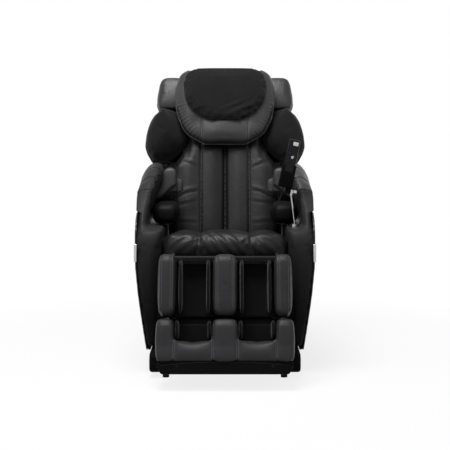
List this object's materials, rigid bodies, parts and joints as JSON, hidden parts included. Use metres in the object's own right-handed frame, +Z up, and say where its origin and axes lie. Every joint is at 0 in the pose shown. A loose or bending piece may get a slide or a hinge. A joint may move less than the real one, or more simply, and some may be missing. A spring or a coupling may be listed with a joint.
{
  "type": "massage chair",
  "caption": "Reclining upholstered massage armchair with padded arm channels, shoulder pods, head pillow, calf and foot wells, a roller carriage in the back and a wired handset on a stalk.",
  "frame": {"origin": "on the floor, under the middle of the chair's box", "axes": "+Z up, the chair faces -Y, +X to the right as seen from the front"},
  "size_m": [0.704, 1.2169, 1.2268],
  "materials": {
    "leather": "dark grey grained leather",
    "fabric": "black knitted fabric",
    "gloss_plastic": "gloss black",
    "matt_plastic": "black, fine texture",
    "painted_steel": "black powder coat",
    "bright_metal": "bright",
    "rubber": "matt black"
  },
  "bodies": {
    "base": {"base_frame": "painted_steel", "front_foot_left": "rubber", "front_foot_right": "rubber", "rear_foot_strip": "rubber", "base_cover_left": "matt_plastic", "base_cover_right": "matt_plastic", "seat_frame": "painted_steel", "seat_cushion": "leather", "recline_shaft": "painted_steel", "knee_shaft": "painted_steel", "control_box": "matt_plastic", "air_pump": "matt_plastic", "back_actuator": "matt_plastic", "leg_actuator": "matt_plastic", "arm_shell_left": "gloss_plastic", "arm_shell_right": "gloss_plastic", "arm_body_left": "leather", "arm_body_right": "leather", "arm_hood_left": "leather", "arm_hood_right": "leather", "arm_pad_left": "leather", "arm_pad_right": "leather", "arm_flap_left": "leather", "arm_flap_right": "leather", "remote_stalk": "bright_metal", "remote_cord": "rubber"},
    "back": {"back_frame": "painted_steel", "rear_cover": "gloss_plastic", "back_pad": "leather", "pod_left": "fabric", "pod_right": "fabric", "wing_left": "leather", "wing_right": "leather", "lead_screw": "bright_metal"},
    "head_pillow": {"pillow": "leather", "pillow_cover": "fabric"},
    "carriage": {"massage_carriage": "painted_steel", "massage_motor": "matt_plastic"},
    "rocker": {"roller_arms": "painted_steel"},
    "upper_roller_pair": {"upper_rollers": "rubber"},
    "lower_roller_pair": {"lower_rollers": "rubber"},
    "calf_rest": {"calf_frame": "matt_plastic", "calf_pad_left": "leather", "calf_pad_centre": "leather", "calf_pad_right": "leather", "calf_liner_left": "fabric", "calf_liner_right": "fabric"},
    "foot_rest": {"foot_tray": "matt_plastic", "foot_pads": "leather", "foot_liner_left": "fabric", "foot_liner_right": "fabric"},
    "recline_rod": {"back_rod": "bright_metal"},
    "lift_rod": {"leg_rod": "bright_metal"},
    "switch": {"power_switch": "matt_plastic"},
    "left_wheel": {"wheel_left": "rubber"},
    "right_wheel": {"wheel_right": "rubber"},
    "holder": {"remote_holder": "matt_plastic"},
    "knob": {"holder_knob": "bright_metal"},
    "hand_control": {"handset": "matt_plastic"},
    "button": {"handset_button": "bright_metal"}
  },
  "joints": [
    {"name": "back_recline", "type": "hinge", "parent": "base", "child": "back", "pos_m": [0, 0.193, 0.42], "axis": [-1, 0, 0], "range_deg": [0, 40]},
    {"name": "carriage_slide", "type": "slide", "parent": "back", "child": "carriage", "axis": [0, 0.3746, 0.9272], "range_m": [-0.1, 0.3]},
    {"name": "roller_rock", "type": "hinge", "parent": "carriage", "child": "rocker", "pos_m": [0, 0.32133, 0.74564], "axis": [1, 0, 0], "range_deg": [-5, 5]},
    {"name": "upper_roller_spin", "type": "hinge", "parent": "rocker", "child": "upper_roller_pair", "pos_m": [0, 0.34292, 0.81241], "axis": [1, 0, 0], "continuous": true},
    {"name": "lower_roller_spin", "type": "hinge", "parent": "rocker", "child": "lower_roller_pair", "pos_m": [0, 0.29047, 0.68261], "axis": [1, 0, 0], "continuous": true},
    {"name": "pillow_flip", "type": "hinge", "parent": "back", "child": "head_pillow", "pos_m": [0, 0.38953, 1.18725], "axis": [-1, 0, 0], "range_deg": [0, 150]},
    {"name": "calf_lift", "type": "hinge", "parent": "base", "child": "calf_rest", "pos_m": [0, -0.347, 0.46], "axis": [-1, 0, 0], "range_deg": [0, 70]},
    {"name": "foot_extend", "type": "slide", "parent": "calf_rest", "child": "foot_rest", "axis": [0, -0.309, -0.9511], "range_m": [0, 0.1]},
    {"name": "back_rod_slide", "type": "slide", "parent": "base", "child": "recline_rod", "axis": [0, -1, 0], "range_m": [0, 0.088]},
    {"name": "leg_rod_slide", "type": "slide", "parent": "base", "child": "lift_rod", "axis": [0, -1, 0], "range_m": [0, 0.155]},
    {"name": "power_rocker", "type": "hinge", "parent": "base", "child": "switch", "pos_m": [-0.06, 0.3855, 0.135], "axis": [1, 0, 0], "range_deg": [0, 9]},
    {"name": "left_wheel_spin", "type": "hinge", "parent": "base", "child": "left_wheel", "pos_m": [-0.185, 0.358, 0.038], "axis": [1, 0, 0], "continuous": true},
    {"name": "right_wheel_spin", "type": "hinge", "parent": "base", "child": "right_wheel", "pos_m": [0.185, 0.358, 0.038], "axis": [1, 0, 0], "continuous": true},
    {"name": "holder_tilt", "type": "hinge", "parent": "base", "child": "holder", "pos_m": [0.236, -0.177, 0.712], "axis": [0.9781, 0, -0.2079], "range_deg": [-15, 25]},
    {"name": "knob_turn", "type": "hinge", "parent": "base", "child": "knob", "pos_m": [0.27513, -0.177, 0.70368], "axis": [0.9781, 0, -0.2079], "range_deg": [-170, 170]},
    {"name": "handset_lift", "type": "slide", "parent": "holder", "child": "hand_control", "axis": [0.2079, 0, 0.9781], "range_m": [0, 0.1]},
    {"name": "button_press", "type": "slide", "parent": "hand_control", "child": "button", "axis": [0, 1, 0], "range_m": [0, 0.0015], "stiffness_N_per_m": 400}
  ],
  "couplings": [
    {"joint": "foot_extend", "follows": "calf_lift", "m_per_rad": 0.0818},
    {"joint": "leg_rod_slide", "follows": "calf_lift", "m_per_rad": 0.12609},
    {"joint": "back_rod_slide", "follows": "back_recline", "m_per_rad": 0.12512}
  ]
}
